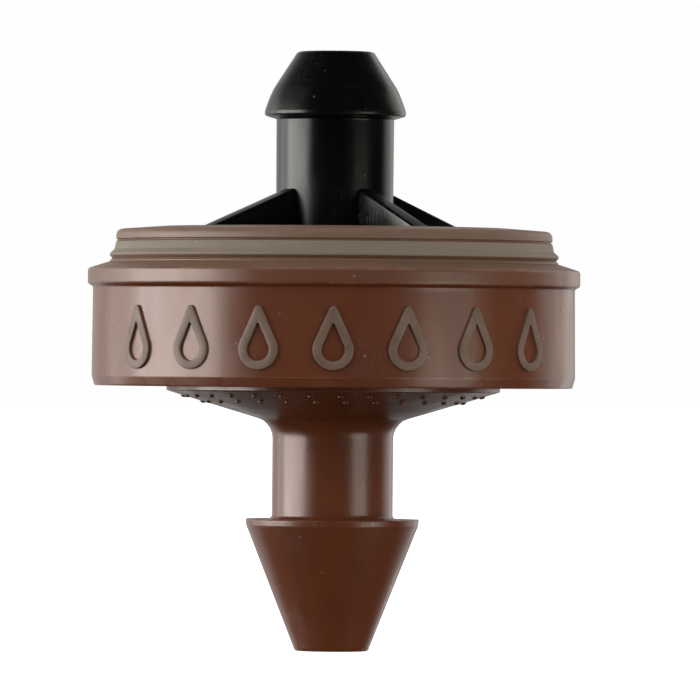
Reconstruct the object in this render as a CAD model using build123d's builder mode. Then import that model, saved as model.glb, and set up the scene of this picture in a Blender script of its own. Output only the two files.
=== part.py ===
"""Pressure-compensating on-line drip emitter, in millimetres.

The origin is on the axis at the root of the inlet shank, and +Z points to the outlet. The pieces are
stacked from above into the body shell and closed by a ring welded to its collar. Apart from the gussets,
the filter's slots and the labyrinth, every piece is round about Z, so most of them are revolved sections.
"""

from build123d import *
import math
import os

os.makedirs("parts", exist_ok=True)

# ---- driving dimensions -------------------------------------------------------------------------

# Inlet barb, below the origin.
inlet_bore_r = 0.90
barb_tip_z = -8.11
barb_tip_round = 0.12
barb_slope = 0.39
barb_land_z = -3.46
barb_land_r = 3.17
barb_top_z = -3.23
barb_top_r = 3.20
shank_r = 2.22
shank_foot_round = 0.16

# Underside cone, from the shank out to the opening in the shell's floor.
cone_slope = 0.30
cone_root_z = 0.32
cone_root_round = 0.75
cone_rim_r = 6.18

# Body shell.
shell_bottom_z = 1.67
shell_floor_z = 2.32
shell_bore_r = 7.88
floor_opening_r = 6.22
skirt_foot_r = 8.85
skirt_foot_round = 0.06
skirt_bevel_z = 2.03
skirt_bottom_r = 8.955
skirt_top_r = 8.925
skirt_top_z = 5.33
flange_r = 9.12
flange_bottom_z = 5.43
flange_top_z = 6.00
flange_edge_round = 0.13
collar_r = 8.31
shoulder_z = 6.26
collar_top_z = 6.38
seam_chamfer = 0.09

# Pieces stacked inside the shell's bore.
stack_r = 7.84
base_top_z = 3.02
laby_top_z = 4.30
plate_top_z = 7.02

# Basin over the inlet bore, and the filter that closes it.
basin_r = 2.60
basin_z = 1.60
filter_seat_r = 3.40
filter_seat_z = 2.60
filter_r = 3.36
filter_top_z = 3.00
slot_count = 16
slot_width = 0.25
slot_inner_r = 1.00
slot_outer_r = 2.45

# Labyrinth: a ring channel with teeth from both walls, open over the base's top face.
channel_inner_r = 4.60
channel_outer_r = 6.40
channel_depth = 0.65
channel_gap_deg = 20
tooth_pairs = 20
tooth_length = 1.15
tooth_root_deg = 9
tooth_tip_deg = 3
tooth_embed = 0.20
inlet_recess_r = 3.10
inlet_recess_depth = 0.40
gate_width = 0.80
gate_deg = 12
port_r = 1.50
return_hole_r = 0.40
return_hole_deg = 348
ridge_inner_r = 4.20
ridge_outer_r = 4.60
ridge_height = 0.20

# Diaphragm, its travel and the gaps left at both ends of it.
diaphragm_r = 5.20
diaphragm_thickness = 0.85
diaphragm_edge_round = 0.15
diaphragm_travel = 0.30
rest_gap = 0.04
stop_gap = 0.05

# Outlet cap.
chamber_r = 6.40
chamber_top_z = 6.00
outlet_bore_r = 1.10
seat_outer_r = 1.90
seat_groove_width = 0.30
seat_groove_depth = 0.15
nipple_r = 2.165
nipple_root_round = 0.20
lip_under_z = 11.58
lip_r = 2.60
lip_foot_z = 11.71
lip_foot_round = 0.09
lip_z = 11.86
bulge_r = 2.45
bulge_z = 12.30
bulge_top_r = 2.25
bulge_top_z = 12.74
nipple_end_r = 1.385
nipple_end_z = 14.09
nipple_end_round = 0.22
gusset_degs = (-140, -58, 40, 122)
gusset_thickness = 0.64
gusset_root_z = 8.98
gusset_end_r = 6.05
gusset_end_z = 7.56
gusset_embed = 0.50

# Retaining ring.
ring_opening_r = 6.30
ring_foot_top_z = 6.56
ring_band_r = 8.14
ring_band_z = 6.71
ring_waist_r = 8.08
groove_z = 7.05
groove_half_height = 0.05
groove_depth = 0.07
ring_shoulder_z = 7.45
ring_shoulder_round = 0.24
ring_top_z = 7.58
ring_opening_round = 0.10

# ---- worked out from them -----------------------------------------------------------------------

barb_tip_r = barb_land_r - barb_slope * (barb_land_z - barb_tip_z)
cone_rim_z = cone_root_z + cone_slope * (cone_rim_r - shank_r)
diaphragm_bottom_z = laby_top_z + ridge_height + rest_gap
seat_z = diaphragm_bottom_z + diaphragm_thickness + diaphragm_travel + stop_gap
channel_mid_r = (channel_inner_r + channel_outer_r) / 2
tooth_pitch_deg = (360 - 2 * channel_gap_deg) / tooth_pairs
gusset_slope = (gusset_root_z - gusset_end_z) / (gusset_end_r - nipple_r)
gusset_inner_r = nipple_r - gusset_embed


def corner(section, r, z):
    """The corner of a section that lies nearest to radius r and height z."""
    return section.vertices().sort_by_distance((r, z))[0]


def around(radius, degrees):
    """The point at a radius and an angle in the plane across the axis."""
    angle = math.radians(degrees)
    return (radius * math.cos(angle), radius * math.sin(angle))


# ---- inlet base: barb, shank, cone and disc in one moulding ---------------------------------------

with BuildPart() as inlet_base:
    with BuildSketch(Plane.XZ) as base_section:
        with BuildLine():
            Polyline(
                (inlet_bore_r, barb_tip_z),
                (barb_tip_r, barb_tip_z),
                (barb_land_r, barb_land_z),
                (barb_top_r, barb_top_z),
                (shank_r, barb_top_z),
                (shank_r, cone_root_z),
                (cone_rim_r, cone_rim_z),
                (cone_rim_r, shell_floor_z),
                (stack_r, shell_floor_z),
                (stack_r, base_top_z),
                (filter_seat_r, base_top_z),
                (filter_seat_r, filter_seat_z),
                (basin_r, filter_seat_z),
                (basin_r, basin_z),
                (inlet_bore_r, basin_z),
                close=True,
            )
        make_face()
        fillet(corner(base_section, barb_tip_r, barb_tip_z), barb_tip_round)
        fillet(corner(base_section, shank_r, barb_top_z), shank_foot_round)
        fillet(corner(base_section, shank_r, cone_root_z), cone_root_round)
    revolve(axis=Axis.Z)

inlet_base.part.label = "inlet_base"
export_step(inlet_base.part, "parts/inlet_base.step")

# ---- inlet filter: a disc with a ring of radial slots ---------------------------------------------

with BuildPart() as inlet_filter:
    with BuildSketch(Plane.XY.offset(filter_seat_z)):
        Circle(filter_r)
        with PolarLocations((slot_inner_r + slot_outer_r) / 2, slot_count):
            Rectangle(slot_outer_r - slot_inner_r, slot_width, mode=Mode.SUBTRACT)
    extrude(amount=filter_top_z - filter_seat_z)

inlet_filter.part.label = "inlet_filter"
export_step(inlet_filter.part, "parts/inlet_filter.step")

# ---- labyrinth disc -------------------------------------------------------------------------------

with BuildPart() as labyrinth_disc:
    with BuildSketch(Plane.XY.offset(base_top_z)):
        Circle(stack_r)
    extrude(amount=laby_top_z - base_top_z)

    # Rest ridge for the diaphragm.
    with BuildSketch(Plane.XY.offset(laby_top_z)):
        Circle(ridge_outer_r)
        Circle(ridge_inner_r, mode=Mode.SUBTRACT)
    extrude(amount=ridge_height)

    # Channel floor plan: a ring, closed by a bridge where it starts and ends, less its teeth.
    with BuildSketch(Plane.XY.offset(base_top_z)):
        Circle(channel_outer_r)
        Circle(channel_inner_r, mode=Mode.SUBTRACT)
        with BuildLine():
            Polyline(
                (0, 0),
                around(2 * stack_r, -channel_gap_deg / 4),
                around(2 * stack_r, channel_gap_deg / 4),
                close=True,
            )
        make_face(mode=Mode.SUBTRACT)
        for pair in range(tooth_pairs):
            start = channel_gap_deg + pair * tooth_pitch_deg
            for wall_r, inward, quarter in ((channel_outer_r, 1, 1), (channel_inner_r, -1, 3)):
                centre = start + quarter * tooth_pitch_deg / 4
                root_r = wall_r + inward * tooth_embed
                tip_r = wall_r - inward * tooth_length
                with BuildLine():
                    Polyline(
                        around(root_r, centre - tooth_root_deg / 2),
                        around(tip_r, centre - tooth_tip_deg / 2),
                        around(tip_r, centre + tooth_tip_deg / 2),
                        around(root_r, centre + tooth_root_deg / 2),
                        close=True,
                    )
                make_face(mode=Mode.SUBTRACT)
    extrude(amount=channel_depth, mode=Mode.SUBTRACT)

    # Recess over the filter, and the gate from it into the start of the channel.
    with BuildSketch(Plane.XY.offset(base_top_z)):
        Circle(inlet_recess_r)
        with PolarLocations(channel_mid_r / 2, 1, start_angle=gate_deg):
            Rectangle(channel_mid_r, gate_width)
    extrude(amount=inlet_recess_depth, mode=Mode.SUBTRACT)

    # Centre port under the diaphragm, and the hole that takes the throttled water back up beside it.
    with BuildSketch(Plane.XY.offset(base_top_z)):
        Circle(port_r)
        with PolarLocations(channel_mid_r + return_hole_r, 1, start_angle=return_hole_deg):
            Circle(return_hole_r)
    extrude(amount=laby_top_z - base_top_z, mode=Mode.SUBTRACT)

labyrinth_disc.part.label = "labyrinth_disc"
export_step(labyrinth_disc.part, "parts/labyrinth_disc.step")

# ---- diaphragm: the silicone disc that floats between the ridge and the outlet seat ----------------

with BuildPart() as diaphragm:
    with BuildSketch(Plane.XY.offset(diaphragm_bottom_z)):
        Circle(diaphragm_r)
    extrude(amount=diaphragm_thickness)
    fillet(diaphragm.edges().filter_by(GeomType.CIRCLE), diaphragm_edge_round)

diaphragm.part.label = "diaphragm"
export_step(diaphragm.part, "parts/diaphragm.step")

# ---- outlet cap: plate, seat, gussets and nipple in one moulding -----------------------------------

with BuildPart() as outlet_cap:
    with BuildSketch(Plane.XZ) as cap_section:
        with BuildLine():
            Polyline(
                (nipple_end_r, nipple_end_z),
                (outlet_bore_r, nipple_end_z),
                (outlet_bore_r, seat_z),
                (seat_outer_r, seat_z),
                (seat_outer_r, chamber_top_z),
                (chamber_r, chamber_top_z),
                (chamber_r, laby_top_z),
                (stack_r, laby_top_z),
                (stack_r, plate_top_z),
                (nipple_r, plate_top_z),
                (nipple_r, lip_under_z),
                (lip_r, lip_foot_z),
                (lip_r, lip_z),
            )
            ThreePointArc((lip_r, lip_z), (bulge_r, bulge_z), (bulge_top_r, bulge_top_z))
            Line((bulge_top_r, bulge_top_z), (nipple_end_r, nipple_end_z))
        make_face()
        fillet(corner(cap_section, nipple_end_r, nipple_end_z), nipple_end_round)
        fillet(corner(cap_section, lip_r, lip_foot_z), lip_foot_round)
        fillet(corner(cap_section, nipple_r, plate_top_z), nipple_root_round)
    revolve(axis=Axis.Z)

    for degrees in gusset_degs:
        radial = around(1, degrees)
        across = Plane(origin=(0, 0, 0), x_dir=(*radial, 0), z_dir=(radial[1], -radial[0], 0))
        with BuildSketch(across):
            with BuildLine():
                Polyline(
                    (gusset_inner_r, plate_top_z - gusset_embed),
                    (gusset_end_r, plate_top_z - gusset_embed),
                    (gusset_end_r, gusset_end_z),
                    (gusset_inner_r, gusset_root_z + gusset_slope * gusset_embed),
                    close=True,
                )
            make_face()
        extrude(amount=gusset_thickness / 2, both=True)

    # A fine groove across the seat, so that the diaphragm throttles but never shuts the outlet.
    with BuildSketch(Plane.XY.offset(seat_z)):
        Rectangle(2 * seat_outer_r, seat_groove_width)
    extrude(amount=seat_groove_depth, mode=Mode.SUBTRACT)

outlet_cap.part.label = "outlet_cap"
export_step(outlet_cap.part, "parts/outlet_cap.step")

# ---- body shell: floor, skirt, flange, shoulder and collar -----------------------------------------

with BuildPart() as body_shell:
    with BuildSketch(Plane.XZ) as shell_section:
        with BuildLine():
            Polyline(
                (floor_opening_r, shell_bottom_z),
                (skirt_foot_r, shell_bottom_z),
                (skirt_bottom_r, skirt_bevel_z),
                (skirt_top_r, skirt_top_z),
                (flange_r, flange_bottom_z),
                (flange_r, flange_top_z),
                (collar_r, shoulder_z),
                (collar_r, collar_top_z),
                (shell_bore_r, collar_top_z),
                (shell_bore_r, shell_floor_z),
                (floor_opening_r, shell_floor_z),
                close=True,
            )
        make_face()
        fillet(corner(shell_section, skirt_foot_r, shell_bottom_z), skirt_foot_round)
        fillet(corner(shell_section, flange_r, flange_bottom_z), flange_edge_round)
        fillet(corner(shell_section, flange_r, flange_top_z), flange_edge_round)
        chamfer(corner(shell_section, collar_r, collar_top_z), seam_chamfer)
    revolve(axis=Axis.Z)

body_shell.part.label = "body_shell"
export_step(body_shell.part, "parts/body_shell.step")

# ---- retaining ring: foot, band, fine groove and bevelled top --------------------------------------

with BuildPart() as retaining_ring:
    with BuildSketch(Plane.XZ) as ring_section:
        with BuildLine():
            Polyline(
                (shell_bore_r, collar_top_z),
                (collar_r, collar_top_z),
                (collar_r, ring_foot_top_z),
                (ring_band_r, ring_band_z),
                (ring_waist_r, groove_z - groove_half_height),
                (ring_waist_r - groove_depth, groove_z),
                (ring_waist_r, groove_z + groove_half_height),
                (ring_waist_r, ring_shoulder_z),
                (ring_opening_r, ring_top_z),
                (ring_opening_r, plate_top_z),
                (shell_bore_r, plate_top_z),
                close=True,
            )
        make_face()
        chamfer(corner(ring_section, collar_r, collar_top_z), seam_chamfer)
        fillet(corner(ring_section, ring_waist_r, ring_shoulder_z), ring_shoulder_round)
        fillet(corner(ring_section, ring_opening_r, ring_top_z), ring_opening_round)
    revolve(axis=Axis.Z)

retaining_ring.part.label = "retaining_ring"
export_step(retaining_ring.part, "parts/retaining_ring.step")
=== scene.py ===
"""Drip emitter: moulded pieces, finishes, studio and camera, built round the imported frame.

Piece sizes are in millimetres, with the origin at the root of the inlet shank and +Z to the outlet, as in the
frame. A finished mesh is brought to metres once, with its place in its vertices and its object at the origin.
"""

import logging
import math
from collections.abc import Callable, Sequence
from dataclasses import dataclass, field
from enum import Enum

import bmesh
import bpy
from mathutils import Matrix, Vector


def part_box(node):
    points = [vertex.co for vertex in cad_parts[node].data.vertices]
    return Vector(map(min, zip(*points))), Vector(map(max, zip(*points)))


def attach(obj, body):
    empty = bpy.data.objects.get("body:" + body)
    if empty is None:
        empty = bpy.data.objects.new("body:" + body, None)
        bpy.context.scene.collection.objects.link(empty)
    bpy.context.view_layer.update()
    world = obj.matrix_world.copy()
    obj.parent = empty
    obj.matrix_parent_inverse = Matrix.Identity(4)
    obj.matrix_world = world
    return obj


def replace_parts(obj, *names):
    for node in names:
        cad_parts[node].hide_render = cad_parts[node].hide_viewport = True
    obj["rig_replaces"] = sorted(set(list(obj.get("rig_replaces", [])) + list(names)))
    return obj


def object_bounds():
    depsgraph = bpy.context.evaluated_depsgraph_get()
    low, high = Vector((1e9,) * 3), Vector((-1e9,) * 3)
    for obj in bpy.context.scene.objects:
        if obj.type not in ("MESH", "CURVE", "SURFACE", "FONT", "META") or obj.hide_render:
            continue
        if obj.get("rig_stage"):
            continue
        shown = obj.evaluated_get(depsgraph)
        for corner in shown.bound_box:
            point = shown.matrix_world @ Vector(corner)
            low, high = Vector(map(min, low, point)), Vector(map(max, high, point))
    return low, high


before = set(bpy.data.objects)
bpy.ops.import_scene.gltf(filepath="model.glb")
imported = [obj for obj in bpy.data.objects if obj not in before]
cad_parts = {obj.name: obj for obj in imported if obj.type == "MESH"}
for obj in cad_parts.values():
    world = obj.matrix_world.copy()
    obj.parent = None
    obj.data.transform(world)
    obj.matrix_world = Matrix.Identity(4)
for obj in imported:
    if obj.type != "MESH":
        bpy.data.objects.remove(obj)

log = logging.getLogger("drip_emitter")

FIXED_BODY = "emitter_body"
MM = 0.001

# Steps of a turned piece round its axis, and degrees of turn that one step of a round takes.
TURN_STEPS = 216
ROUND_STEP_DEG = 15.0
LEAST_ROUND_STEPS = 3

# A guard point keeps a flat wall flat beside a round: how far off it stands, and the room and share it needs.
GUARD = 0.05
GUARD_SHARE = 0.25
GUARD_ROOM = 3

# Turn under which a corner is no corner, turn past which it is sharp, and how far such corners are rubbed.
FLAT_TURN_DEG = 1.0
HARD_TURN_DEG = 28.0
HARD_RUB = 0.5
SOFT_RUB = 0.2

# Round of the fine edges of a moulding, in millimetres.
FINE_ROUND = 0.05

# How frosted the blasted and half-blasted walls are.
FULL_FROST = 1.0
SOFT_FROST = 0.4

# How near to an end the parting ridge stops, and how wide it is, in millimetres.
RIDGE_CLEARANCE = 0.3
RIDGE_WIDTH = 0.05

# Watts that give an area lamp of one square metre a radiance of one.
LAMP_WATTS = 4.0
NODE_SPACING = 180

Colour = tuple[float, float, float]
Section = list["SectionPoint"]
Relief = Callable[[float, float, float], float]


class Slot(Enum):
    """The record's material slot names, which no piece here reads."""

    BROWN = "brown_plastic"
    BLACK = "black_plastic"
    NATURAL = "natural_plastic"
    SILICONE = "silicone"


class Trace(Enum):
    """Names of the vertex attributes that a finish reads."""

    EDGE = "edge_rub"
    FROST = "frosted"


# ---- turned sections --------------------------------------------------------------------------------------------


@dataclass(frozen=True)
class Corner:
    """One corner of a turned section: radius, height, the round put on it, and how frosted the wall after it is."""

    r: float
    z: float
    round: float = 0.0
    frost: float = 0.0


@dataclass(frozen=True)
class SectionPoint:
    """One vertex of a finished section, with its edge rub and frost, and whether its ring of edges is sharp."""

    r: float
    z: float
    rub: float
    frost: float
    hard: bool


def turn_angle(before: Vector, here: Vector, after: Vector) -> float:
    """Return the angle in degrees by which a section turns at a corner."""
    return math.degrees((here - before).angle(after - here))


def swept_angle(start: Vector, end: Vector) -> float:
    """Return the signed angle in radians from one spoke of a round to another, positive anticlockwise."""
    return math.atan2(start.cross(end), start.dot(end))


def finished_section(corners: Sequence[Corner]) -> Section:
    """Round a closed section's corners and put guard points beside each round.

    Args:
        corners: The section's corners in order, closed from the last to the first.

    Returns:
        The section's points, with arcs at the rounded corners.
    """
    points: Section = []
    count = len(corners)
    for index, corner in enumerate(corners):
        before, after = corners[index - 1], corners[(index + 1) % count]
        here = Vector((corner.r, corner.z))
        back, ahead = Vector((before.r, before.z)) - here, Vector((after.r, after.z)) - here
        turn = turn_angle(here + back, here, here + ahead)
        back_length, ahead_length = back.length, ahead.length
        back.normalize()
        ahead.normalize()
        frost_in, frost_out = before.frost, corner.frost
        if corner.round <= 0.0 or turn < FLAT_TURN_DEG:
            mean = (frost_in + frost_out) / 2
            if turn > HARD_TURN_DEG:
                guard = min(GUARD, back_length * GUARD_SHARE, ahead_length * GUARD_SHARE)
                left, right = here + back * guard, here + ahead * guard
                points.append(SectionPoint(left.x, left.y, 0.0, frost_in, False))
                points.append(SectionPoint(here.x, here.y, HARD_RUB, mean, True))
                points.append(SectionPoint(right.x, right.y, 0.0, frost_out, False))
            else:
                points.append(SectionPoint(here.x, here.y, SOFT_RUB, mean, False))
            continue
        inner = math.radians(180.0 - turn)
        reach = corner.round / math.tan(inner / 2)
        centre = here + (back + ahead).normalized() * (corner.round / math.sin(inner / 2))
        start, end = here + back * reach - centre, here + ahead * reach - centre
        steps = max(LEAST_ROUND_STEPS, round(turn / ROUND_STEP_DEG))
        guard = min(GUARD, corner.round)
        if back_length - reach > GUARD_ROOM * guard:
            left = centre + start + back * guard
            points.append(SectionPoint(left.x, left.y, 0.0, frost_in, False))
        sweep = swept_angle(start, end)
        for step in range(steps + 1):
            share = step / steps
            spot = centre + Matrix.Rotation(sweep * share, 2) @ start
            rub = math.copysign(math.sin(math.pi * share), sweep)
            points.append(SectionPoint(spot.x, spot.y, rub, frost_in + (frost_out - frost_in) * share, False))
        if ahead_length - reach > GUARD_ROOM * guard:
            right = centre + end + ahead * guard
            points.append(SectionPoint(right.x, right.y, 0.0, frost_out, False))
    return points


def section_area(points: Section) -> float:
    """Return the signed area of a closed section, positive when it runs anticlockwise."""
    return sum(
        points[i - 1].r * points[i].z - points[i].r * points[i - 1].z for i in range(len(points))
    ) / 2


def turned_mesh(name: str, corners: Sequence[Corner], relief: Relief | None = None) -> bpy.types.Mesh:
    """Turn a closed section round the Z axis into a closed mesh with outward faces, in millimetres.

    Args:
        name: The mesh's name.
        corners: The section's corners, none of them on the axis.
        relief: Gives how far the surface stands out along its normal, from angle, radius and height.

    Returns:
        The new mesh, with its edge rub and frost attributes.
    """
    points = finished_section(corners)
    rub_sign = math.copysign(1.0, section_area(points))
    if rub_sign < 0.0:
        points.reverse()
    count = len(points)
    outward: list[Vector] = []
    for index in range(count):
        along = Vector((
            points[(index + 1) % count].r - points[index - 1].r,
            points[(index + 1) % count].z - points[index - 1].z,
        )).normalized()
        outward.append(Vector((along.y, -along.x)))
    verts: list[tuple[float, float, float]] = []
    for step in range(TURN_STEPS):
        angle = 2 * math.pi * step / TURN_STEPS
        cosine, sine = math.cos(angle), math.sin(angle)
        for point, normal in zip(points, outward):
            lift = relief(angle, point.r, point.z) if relief else 0.0
            radius, height = point.r + normal.x * lift, point.z + normal.y * lift
            verts.append((radius * cosine, radius * sine, height))
    faces: list[tuple[int, int, int, int]] = []
    for step in range(TURN_STEPS):
        here, there = step * count, (step + 1) % TURN_STEPS * count
        for index in range(count):
            after = (index + 1) % count
            faces.append((here + index, there + index, there + after, here + after))
    mesh = bpy.data.meshes.new(name)
    mesh.from_pydata(verts, [], faces)
    mesh.shade_smooth()
    hard_rings = {index for index, point in enumerate(points) if point.hard}
    sharp = mesh.attributes.new("sharp_edge", "BOOLEAN", "EDGE")
    sharp.data.foreach_set("value", [
        a % count == b % count and a % count in hard_rings for a, b in (edge.vertices for edge in mesh.edges)
    ])
    rub = mesh.attributes.new(Trace.EDGE.value, "FLOAT", "POINT")
    rub.data.foreach_set("value", [max(0.0, point.rub * rub_sign) for point in points] * TURN_STEPS)
    frost = mesh.attributes.new(Trace.FROST.value, "FLOAT", "POINT")
    frost.data.foreach_set("value", [point.frost for point in points] * TURN_STEPS)
    return mesh


def fixed_piece(
    name: str, mesh: bpy.types.Mesh, material: bpy.types.Material | None, node: str | None = None,
) -> bpy.types.Object:
    """Link a mesh at the origin, in metres, as a finished piece of the fixed body.

    Args:
        name: The piece's name.
        mesh: The mesh in millimetres.
        material: The finish, or None where the mesh has its own.
        node: The CAD node that the piece replaces, or None where it adds to one.

    Returns:
        The new object.
    """
    mesh.transform(Matrix.Scale(MM, 4))
    mesh.update()
    if material is not None:
        mesh.materials.clear()
        mesh.materials.append(material)
    piece = bpy.data.objects.new(name, mesh)
    bpy.context.scene.collection.objects.link(piece)
    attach(piece, FIXED_BODY)
    if node is not None:
        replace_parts(piece, node)
    return piece


def fit_gap(piece: bpy.types.Object, node: str) -> float:
    """Compare a piece's box with its CAD node's.

    Args:
        piece: The finished piece, in metres.
        node: The CAD node's name.

    Returns:
        The largest difference, in millimetres.
    """
    low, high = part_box(node)
    spots = [vertex.co for vertex in piece.data.vertices]
    gaps = [abs(min(spot[axis] for spot in spots) - low[axis]) for axis in range(3)]
    gaps += [abs(max(spot[axis] for spot in spots) - high[axis]) for axis in range(3)]
    return max(gaps) / MM


# ---- shader node groups -------------------------------------------------------------------------------------------


class NodeTree:
    """Adds nodes to a tree, links them and lays them out from left to right."""

    def __init__(self, tree: bpy.types.NodeTree) -> None:
        """Keep the tree that the nodes go into."""
        self.tree = tree
        self.column = 0

    def add(self, kind: str, **settings: object) -> bpy.types.Node:
        """Add one node and set its properties.

        Args:
            kind: The node's type.
            settings: Its properties by name.

        Returns:
            The new node.
        """
        node = self.tree.nodes.new(kind)
        node.location = (self.column * NODE_SPACING, 0)
        self.column += 1
        for key, value in settings.items():
            setattr(node, key, value)
        return node

    def link(self, source: bpy.types.NodeSocket, target: bpy.types.NodeSocket) -> None:
        """Link one socket to another."""
        self.tree.links.new(source, target)

    def feed(self, value: object, target: bpy.types.NodeSocket) -> None:
        """Link a socket, or set a plain value, on an input socket.

        Args:
            value: An output socket, or a value that the input takes.
            target: The input socket.
        """
        if isinstance(value, bpy.types.NodeSocket):
            self.link(value, target)
        else:
            target.default_value = value

    def maths(self, operation: str, *values: object, clamp: bool = False) -> bpy.types.NodeSocket:
        """Add a Math node.

        Args:
            operation: The node's operation.
            values: Its inputs in order, each a socket or a number.
            clamp: True to keep the result between 0 and 1.

        Returns:
            The result's socket.
        """
        node = self.add("ShaderNodeMath", operation=operation, use_clamp=clamp)
        for value, socket in zip(values, node.inputs):
            self.feed(value, socket)
        return node.outputs[0]

    def noise(
        self, vector: bpy.types.NodeSocket, scale: object, detail: float, rough: float = 0.5,
    ) -> bpy.types.NodeSocket:
        """Add a Noise Texture.

        Args:
            vector: The place that it reads.
            scale: Its scale, a socket or a number.
            detail: How many finer layers it has.
            rough: How strong each finer layer is.

        Returns:
            The noise's socket.
        """
        node = self.add("ShaderNodeTexNoise")
        self.link(vector, node.inputs["Vector"])
        self.feed(scale, node.inputs["Scale"])
        node.inputs["Detail"].default_value = detail
        node.inputs["Roughness"].default_value = rough
        return node.outputs["Fac"]

    def ramp(
        self, value: object, low: object, high: object, to_low: object = 0.0, to_high: object = 1.0,
    ) -> bpy.types.NodeSocket:
        """Add a clamped, smooth Map Range.

        Args:
            value: What is mapped.
            low: Value at and under which the result is to_low.
            high: Value at and over which the result is to_high.
            to_low: Result at the low end.
            to_high: Result at the high end.

        Returns:
            The result's socket.
        """
        node = self.add("ShaderNodeMapRange", interpolation_type="SMOOTHSTEP")
        names = ("Value", "From Min", "From Max", "To Min", "To Max")
        for name, given in zip(names, (value, low, high, to_low, to_high)):
            self.feed(given, node.inputs[name])
        return node.outputs["Result"]

    def blend(self, share: object, first: object, second: object) -> bpy.types.NodeSocket:
        """Mix two colours.

        Args:
            share: How much of the second colour shows.
            first: A colour, or a colour's socket.
            second: A colour, or a colour's socket.

        Returns:
            The mixed colour's socket.
        """
        node = self.add("ShaderNodeMix", data_type="RGBA")
        self.feed(share, node.inputs["Factor"])
        for value, name in ((first, "A"), (second, "B")):
            socket = next(s for s in node.inputs if s.name == name and s.type == "RGBA")
            self.feed((*value, 1.0) if isinstance(value, tuple) and len(value) == 3 else value, socket)
        return next(s for s in node.outputs if s.type == "RGBA")


def new_group(
    name: str, inputs: Sequence[tuple[str, str, float]], outputs: Sequence[str],
) -> tuple[bpy.types.NodeTree, NodeTree, bpy.types.Node, bpy.types.Node]:
    """Start a shader node group.

    Args:
        name: The group's name.
        inputs: Name, socket type and default of each input.
        outputs: Name of each output value.

    Returns:
        The group, its node builder, its input node and its output node.
    """
    group = bpy.data.node_groups.new(name, "ShaderNodeTree")
    for title, kind, default in inputs:
        socket = group.interface.new_socket(title, in_out="INPUT", socket_type=kind)
        if kind == "NodeSocketFloat":
            socket.default_value = default
    for title in outputs:
        group.interface.new_socket(title, in_out="OUTPUT", socket_type="NodeSocketFloat")
    build = NodeTree(group)
    return group, build, build.add("NodeGroupInput"), build.add("NodeGroupOutput")


def mould_skin_group() -> bpy.types.NodeTree:
    """Build the group for a moulded skin: fine grain, sink ripples, colour mottle and blast.

    Returns:
        The new group.
    """
    group, build, given, result = new_group(
        "mould skin",
        [
            ("Vector", "NodeSocketVector", 0.0),
            ("Grain Scale", "NodeSocketFloat", 4000.0),
            ("Grain Share", "NodeSocketFloat", 0.3),
            ("Ripple Scale", "NodeSocketFloat", 600.0),
            ("Mottle Scale", "NodeSocketFloat", 350.0),
            ("Blast Scale", "NodeSocketFloat", 15000.0),
        ],
        ["Height", "Mottle", "Gloss Drift", "Blast"],
    )
    vector = given.outputs["Vector"]
    grain = build.noise(vector, given.outputs["Grain Scale"], 3.0, 0.6)
    ripple = build.noise(vector, given.outputs["Ripple Scale"], 1.0, 0.4)
    mottle = build.noise(vector, given.outputs["Mottle Scale"], 4.0, 0.55)
    stretched = build.add("ShaderNodeMapping", vector_type="POINT")
    stretched.inputs["Scale"].default_value = (1.0, 1.0, 0.22)
    build.link(vector, stretched.inputs["Vector"])
    flow = build.noise(stretched.outputs["Vector"], build.maths("MULTIPLY", given.outputs["Mottle Scale"], 2.6), 2.0)
    grain_part = build.maths("MULTIPLY", grain, given.outputs["Grain Share"])
    build.link(build.maths("ADD", grain_part, ripple), result.inputs["Height"])
    build.link(build.noise(vector, given.outputs["Blast Scale"], 1.0, 0.5), result.inputs["Blast"])
    both = build.maths("MULTIPLY_ADD", flow, 0.45, build.maths("MULTIPLY", mottle, 0.55))
    build.link(build.ramp(both, 0.34, 0.66), result.inputs["Mottle"])
    build.link(build.ramp(flow, 0.3, 0.7), result.inputs["Gloss Drift"])
    return group


def rubbed_edge_group() -> bpy.types.NodeTree:
    """Build the group that breaks an edge trace up into rubbed patches.

    Returns:
        The new group.
    """
    group, build, given, result = new_group(
        "rubbed edge",
        [
            ("Vector", "NodeSocketVector", 0.0),
            ("Edge", "NodeSocketFloat", 0.0),
            ("Breakup Scale", "NodeSocketFloat", 1200.0),
            ("Amount", "NodeSocketFloat", 0.5),
        ],
        ["Mask"],
    )
    breakup = build.noise(given.outputs["Vector"], given.outputs["Breakup Scale"], 4.0, 0.65)
    patch = build.ramp(breakup, 0.35, 0.62)
    edge = build.ramp(given.outputs["Edge"], 0.25, 0.95)
    rubbed = build.maths("MULTIPLY", build.maths("MULTIPLY", edge, patch), given.outputs["Amount"], clamp=True)
    build.link(rubbed, result.inputs["Mask"])
    return group


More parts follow.
